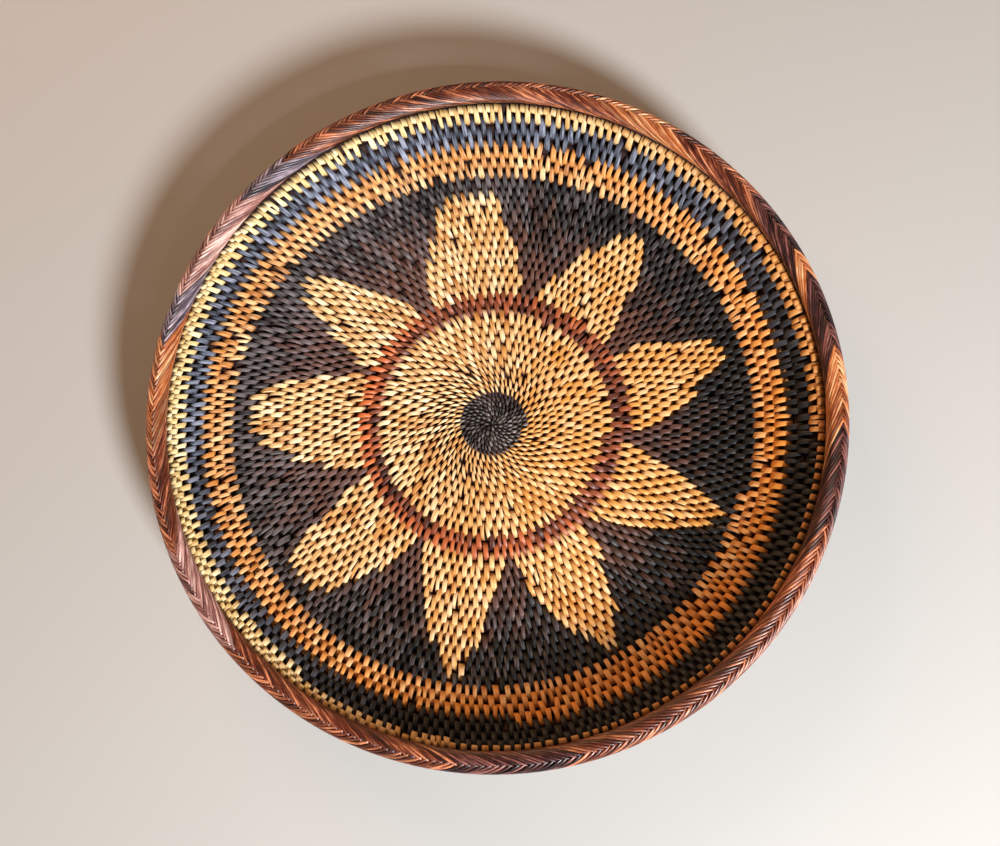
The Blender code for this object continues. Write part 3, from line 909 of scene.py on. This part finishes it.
# %% Sew the bands
def sew(name, chosen, dye_and_shade, finish, slot, node):
    """The chosen stitches as one piece."""
    chosen = np.flatnonzero(chosen)
    path, points, half_width = bend_stitches(chosen)
    # how near each point is to an end of the loop: there the finish paints the shade of the holes
    ends = np.abs(2 * LOOP_ALONG - 1)
    marks = strip_marks(path, half_width, stitch_start[chosen], stitch_tone_and_shade[chosen], dye_and_shade[chosen],
                        STRIP_SHARES[:, 0], ends)
    add_piece(name, strip_mesh(name, points, True, marks), finish, slot, node)


def between(first, last):
    """Stitches from one number of turns to another."""
    return (stitch_turns >= first) & (stitch_turns < last)


late_black = between(LATE_BLACK_FROM, LATE_BLACK_TO)
black = between(BLACK_FROM, PALE_FROM) | late_black
pale = (stitch_turns >= PALE_FROM) & ~late_black
BANDS = [
    ("knot", between(FIRST_TURN - 1, 0), plain_dye, charcoal_cane, "charcoal_splint", "start_knot"),
    ("button", between(0, FINE_FROM), button_painted_shade, charcoal_cane, "charcoal_splint", "button_stitching"),
    ("fine_row", between(FINE_FROM, FIELD_START), natural_dye_and_shade, natural_cane, "natural_splint",
     "fine_row_stitching"),
    ("inner_field", between(FIELD_START, RED_FROM), natural_dye_and_shade, natural_cane, "natural_splint",
     "inner_field_stitching"),
    ("red_ring", between(RED_FROM, STAR_FROM), ring_dye, red_cane, "red_brown_splint", "red_ring_stitching"),
    ("orange_band", between(ORANGE_FROM, BLACK_FROM), orange_dye_and_shade, orange_cane, "orange_splint",
     "orange_band_stitching"),
    ("black_band", black, black_painted_shade, black_cane, "black_splint", "black_band_stitching"),
    ("pale_edge", pale, pale_dye_and_shade, pale_cane, "pale_splint", "pale_edge_stitching"),
]
for name, chosen, dye_and_shade, finish, slot, node in BANDS:
    sew(f"{name}_stitches", chosen, dye_and_shade, finish, slot, node)
print("bands sewn:", len(BANDS))

# %% [markdown]
# ## Sewing the star
# The petals are natural cane. The ground between them is dark: brown near the ring and black at
# the tips of the petals, and darkest on the right side, where its tone is lowered and its colour
# changed as painted shade. A ground area runs from the middle of one petal to the middle of the
# next, and the seam of the coil cuts one of them in two.

# %% Sew the star
GROUND_SHADE_TONE_SHARE = 0.45
GROUND_STAR_SHARE = 1.2
GROUND_SHADE_SHARES = (0.9, -0.15)

in_ground = in_star & (stitch_petal == 0)
# painted shade: the tone of the ground is lowered towards the right side
stitch_tone_and_shade[in_ground] -= painted_round_shade(RIGHT_SHADE_MIDDLE, 0, GROUND_SHADE_TONE_SHARE)[in_ground]
# brown near the ring by dye; the change round the tray is painted shade
ground_dye_and_shade = painted_round_shade(NEAR_SHADE_MIDDLE, *GROUND_SHADE_SHARES) - GROUND_STAR_SHARE * star_share
ground_dye_and_shade = uneven(ground_dye_and_shade, spread=0.2, most=0.7)
for number in range(1, len(PETALS) + 1):
    sew(f"petal_{number}_stitches", stitch_petal == number, natural_dye_and_shade, natural_cane, "natural_splint",
        f"star_petal_{number}")
petal_middles = [(petal[0] + petal[1]) / 2 for petal in PETALS]
ground_sides = sorted(petal_middles + [SEAM_DEGREES + 360, petal_middles[0] + 360])
for number, (first, last) in enumerate(zip(ground_sides, ground_sides[1:]), start=1):
    degrees = first + (stitch_degrees - first) % 360
    sew(f"ground_{number}_stitches", in_ground & (degrees < last), ground_dye_and_shade, dark_cane, "dark_splint",
        f"star_ground_{number}")
print("ground areas:", len(ground_sides) - 1)

# %% [markdown]
# ## The bundle inside
# The dark gaps between the stitches show the foundation: a bundle of dry fibre that runs under
# all of them. It is one strip with a round section, wound along the whole spiral, so the gaps are
# real gaps with fibre at the bottom, and they darken in the light by themselves; the very dark
# red-brown of the fibre adds painted shade to them. Two waves of unlike length make it swell and
# thin, as a bundle does that is fed by hand.

# %% Wind the bundle
TURN_STEPS = 60
BUNDLE_FROM = FIRST_TURN + 0.2
BUNDLE_TO = COIL_TURNS - 0.07
BUNDLE_SIDES = 8
BUNDLE_WIDTH_SHARE = 0.52
BUNDLE_HEIGHT_SHARE = 0.2
SWELL_WAVES = (97, 41)
SWELL_SHARES = (0.05, 0.04)

bundle_turns = np.arange(BUNDLE_FROM, BUNDLE_TO, 1 / TURN_STEPS)
inside = row_edge(bundle_turns)
outside = row_edge(bundle_turns + 1)
swell = 1 + sum(share * np.sin(bundle_turns * waves) for waves, share in zip(SWELL_WAVES, SWELL_SHARES))
wide = BUNDLE_WIDTH_SHARE * swell * (outside - inside)
high = BUNDLE_HEIGHT_SHARE * swell * bundle_pitch(bundle_turns)
side_angle = 2 * math.pi * np.arange(BUNDLE_SIDES) / BUNDLE_SIDES
bundle_arc = (inside + outside) / 2
bundle_angle = START_ANGLE + 2 * math.pi * bundle_turns
bundle_points = wall_points(bundle_arc[:, None] + np.sin(side_angle) * wide[:, None],
                            np.cos(side_angle) * high[:, None], bundle_angle[:, None])[None]
bundle_path = wall_points(bundle_arc, 0, bundle_angle)[None]
# painted shade: the fibre is coloured near black-brown so that the holes read dark
fibre_with_hole_shade = splint_finish("fibre_with_hole_shade", (0.09, 0.026, 0.012), (0.16, 0.045, 0.02), (0.24, 0.08, 0.03),
                          (0.1, 0.06, 0.03), (0.05, 0.03, 0.02), roughness=0.85, fibres=3.5)
bundle_mesh = strip_mesh("coil_bundle", bundle_points, False, round_marks(bundle_path, BUNDLE_SIDES))
add_piece("coil_bundle", bundle_mesh, fibre_with_hole_shade, "foundation_fibre", "foundation_coil_centre",
          "foundation_coil_floor", "foundation_coil_wall")
print("bundle length:", round(float(np.linalg.norm(np.diff(bundle_path[0], axis=0), axis=-1).sum()), 1), "m")

# %% [markdown]
# ## The rim
# The rim is a hoop, covered by a herringbone of narrow splints. It sits on the end of the wall,
# in line with it. A place on it is given by a lean, which is nought at the top and grows outwards,
# a depth below its surface, and an angle round the tray.

# %% Place the rim
RIM_RADIUS = 5.2 * MM
RIM_SEAT_GAP = 0.3 * MM

end_radius, end_height, end_slope = (float(value) for value in dish(WALL_END))
rim_middle_radius = end_radius + (RIM_RADIUS + RIM_SEAT_GAP) * math.cos(end_slope)
rim_middle_height = end_height + (RIM_RADIUS + RIM_SEAT_GAP) * math.sin(end_slope)


def rim_points(lean, depth, angle):
    """Points on the rim."""
    radius = rim_middle_radius + (RIM_RADIUS - depth) * np.sin(lean)
    return round_points(radius, angle, rim_middle_height + (RIM_RADIUS - depth) * np.cos(lean))


print("rim circle:", round(rim_middle_radius / MM, 1), "mm at", round(rim_middle_height / MM, 1), "mm")

# %% [markdown]
# ## The herringbone
# From a spine just outside the top of the rim one set of arms runs down the inside and one set
# down the outside, all slanting clockwise, the inside ones more. Each arm is a flat strip that
# lies partly over the one before it, which is what gives the rim its ribs. At the spine the arms
# narrow and dip, where they cross each other.

# %% Lash the arms
ARM_COUNT = 326
ARM_SIDES = [
    # side, how far round the rim an arm reaches, how far it travels along, and how much it bends
    (-1, math.radians(127), 1.5, 0.45),
    (1, math.radians(185), 1.1, 0.38),
]
SPINE_LEAN = math.radians(9)
SPINE_CROSSING = math.radians(13)
SPINE_OVERLAP = 1.2 * MM
TUCK_REACH = math.radians(26)
TUCK_DEPTH = 0.75 * MM
TUCK_POWER = 1.5
TUCK_NARROW_SHARE = 0.35
ARM_WIDTH = 1.56 * MM
ARM_THICKNESS = 0.7 * MM
ARM_SEAT_SHARE = 0.9
ARM_STEPS = 14
ARM_SHARES = np.array([(-1, -0.05), (-0.62, 0.72), (0.1, 1.0), (0.75, 0.6), (1, -0.1), (0, -0.45)])


def lash_arms(angles, side, reach, travel_share, bend_share, shifts):
    """Paths, outward directions and half widths of arms: side is -1 inside, and 1 outside."""
    start = SPINE_LEAN - side * SPINE_CROSSING
    turned = np.linspace(0, 1, ARM_STEPS)[None] * (SPINE_LEAN + side * reach - start)
    travel = RIM_RADIUS * np.abs(turned) * (travel_share + bend_share * np.abs(turned)) - SPINE_OVERLAP
    angle = angles[:, None] + (travel + shifts[:, None]) / rim_middle_radius
    tuck = np.clip(1 - np.abs(turned) / TUCK_REACH, 0, 1) ** TUCK_POWER
    depth = ARM_THICKNESS * ARM_SEAT_SHARE + TUCK_DEPTH * tuck
    path = rim_points(start + turned, depth, angle)
    outward = unit(rim_points(start + turned, depth - 10 * SMALL_STEP, angle) - path)
    half_width = ARM_WIDTH / 2 * (1 - TUCK_NARROW_SHARE * tuck)
    return path, outward, half_width


print("arms:", ARM_COUNT * len(ARM_SIDES))

# %% [markdown]
# ## Runs of colour
# The arms of one run share a colour, and each arm still has its own place, width, tone and dye.
# An arm on the outside is the mirror image of one on the inside, so the order of its points is
# turned round, to keep its faces looking outwards.

# %% Lash one run
RIM_SEED = 5
ARM_SHIFT_SPREAD = 0.18 * MM
ARM_WIDTH_SPREAD = 0.07
ARM_WIDTH_SHARES = (0.85, 1.15)
ARM_DYE_MIDDLE = 0.1
ARM_DYE_SPREAD = 0.4
ARM_DYE_MOST = 0.9

rim_dice = np.random.default_rng(RIM_SEED)
arm_angles = 2 * math.pi * np.arange(ARM_COUNT) / ARM_COUNT


def lash_run(name, first, last, finish, slot, node):
    """The arms of one run of colour, inside and outside."""
    angles = arm_angles[(np.degrees(arm_angles) >= first) & (np.degrees(arm_angles) < last)]
    arms = len(angles)
    points, marks = [], []
    for side, reach, travel_share, bend_share in ARM_SIDES:
        shifts = rim_dice.normal(0, ARM_SHIFT_SPREAD, arms)
        path, outward, half_width = lash_arms(angles, side, reach, travel_share, bend_share, shifts)
        half_width = half_width * rim_dice.normal(1, ARM_WIDTH_SPREAD, (arms, 1)).clip(*ARM_WIDTH_SHARES)
        start = rim_dice.uniform(0, GRAIN_ROOM, arms)
        tone = rim_dice.uniform(0, 1, arms)
        dye_and_shade = np.clip(rim_dice.normal(ARM_DYE_MIDDLE, ARM_DYE_SPREAD, arms), 0, ARM_DYE_MOST)
        section = ARM_SHARES[::-side] * (side, 1)
        points.append(sweep(path, np.gradient(path, axis=1), outward, half_width, ARM_THICKNESS, section))
        marks.append(strip_marks(path, half_width, start, tone, dye_and_shade, section[:, 0], np.zeros(ARM_STEPS)))
    joined = {mark: np.concatenate([part[mark] for part in marks]) for mark in marks[0]}
    add_piece(name, strip_mesh(name, np.concatenate(points), False, joined), finish, slot, node)


print("arms in ten degrees:", int((np.degrees(arm_angles) < 10).sum()))

# %% [markdown]
# ## Colouring the rim
# The rim is lashed with splints of several colours: red-brown, orange, dark, dusky pink and slate.
# They shine more than the rest of the tray, as if hands had polished them, so the coat of the
# shader lays a thin gloss over them. The runs are given by the angle where each starts.

# %% Colour the runs of the rim
GLOSSY = {"fibres": 1.8, "polish": 0.25}
RIM_COLOURS = {
    # dark, middle and light tone, second dye, painted crevice shade, roughness
    "rim_red": ((0.20, 0.06, 0.03), (0.46, 0.20, 0.11), (0.94, 0.60, 0.42), (0.17, 0.06, 0.05),
                (0.07, 0.02, 0.015), 0.36),
    "rim_orange": ((0.46, 0.19, 0.08), (0.80, 0.45, 0.24), (1.0, 0.82, 0.60), (0.36, 0.13, 0.07),
                   (0.12, 0.04, 0.02), 0.36),
    "rim_dark": ((0.09, 0.035, 0.03), (0.24, 0.10, 0.09), (0.64, 0.40, 0.36), (0.10, 0.04, 0.05),
                 (0.04, 0.015, 0.015), 0.34),
    "rim_dusky": ((0.36, 0.21, 0.19), (0.68, 0.46, 0.42), (1.0, 0.84, 0.78), (0.26, 0.12, 0.14),
                  (0.08, 0.04, 0.04), 0.36),
    "rim_slate": ((0.14, 0.11, 0.13), (0.37, 0.31, 0.35), (0.78, 0.70, 0.74), (0.13, 0.10, 0.14),
                  (0.05, 0.04, 0.05), 0.36),
}
RIM_RUNS = [
    (0, "rim_red"), (18, "rim_orange"), (33, "rim_red"), (50, "rim_dark"), (62, "rim_orange"),
    (67, "rim_dark"), (80, "rim_orange"), (93, "rim_dark"), (110, "rim_red"), (138, "rim_red"),
    (165, "rim_dark"), (185, "rim_red"), (205, "rim_red"), (226, "rim_dusky"), (245, "rim_red"),
    (262, "rim_orange"), (281, "rim_slate"), (290, "rim_dusky"), (310, "rim_slate"), (320, "rim_red"),
]
rim_finishes = {slot: splint_finish(slot, *tones, **GLOSSY) for slot, tones in RIM_COLOURS.items()}
run_ends = [first for first, _ in RIM_RUNS[1:]] + [360]
for number, ((first, slot), last) in enumerate(zip(RIM_RUNS, run_ends), start=1):
    lash_run(f"herringbone_{number:02d}", first, last, rim_finishes[slot], slot, f"rim_lashing_{number:02d}")
print("rim runs:", len(RIM_RUNS))

# %% [markdown]
# ## The hoop
# Under the lashing runs a plain round hoop of cane. Only slivers of it show between the arms, so
# it is a single closed ring with the finish of the cane, and nothing more. Its dark brown paints
# the shade in the gaps between the arms.

# %% Bend the hoop
HOOP_DEPTH = 1.3 * MM
HOOP_STEPS = 240
HOOP_SIDES = 10

hoop_angle = 2 * math.pi * np.arange(HOOP_STEPS) / HOOP_STEPS
hoop_lean = 2 * math.pi * np.arange(HOOP_SIDES) / HOOP_SIDES
hoop_points = rim_points(hoop_lean, HOOP_DEPTH, hoop_angle[:, None])[None]
hoop_marks = round_marks(rim_points(0, HOOP_DEPTH, hoop_angle)[None], HOOP_SIDES)
# painted shade: the hoop is dark brown, so that the gaps between the arms read dark
hoop_cane = splint_finish("hoop_cane", (0.16, 0.07, 0.03), (0.28, 0.14, 0.07), (0.42, 0.24, 0.12),
                          (0.1, 0.06, 0.03), (0.05, 0.03, 0.02), roughness=0.7)
add_piece("hoop", strip_mesh("hoop", hoop_points, True, hoop_marks), hoop_cane, "hoop_cane", "rim_hoop")
print("hoop bent")
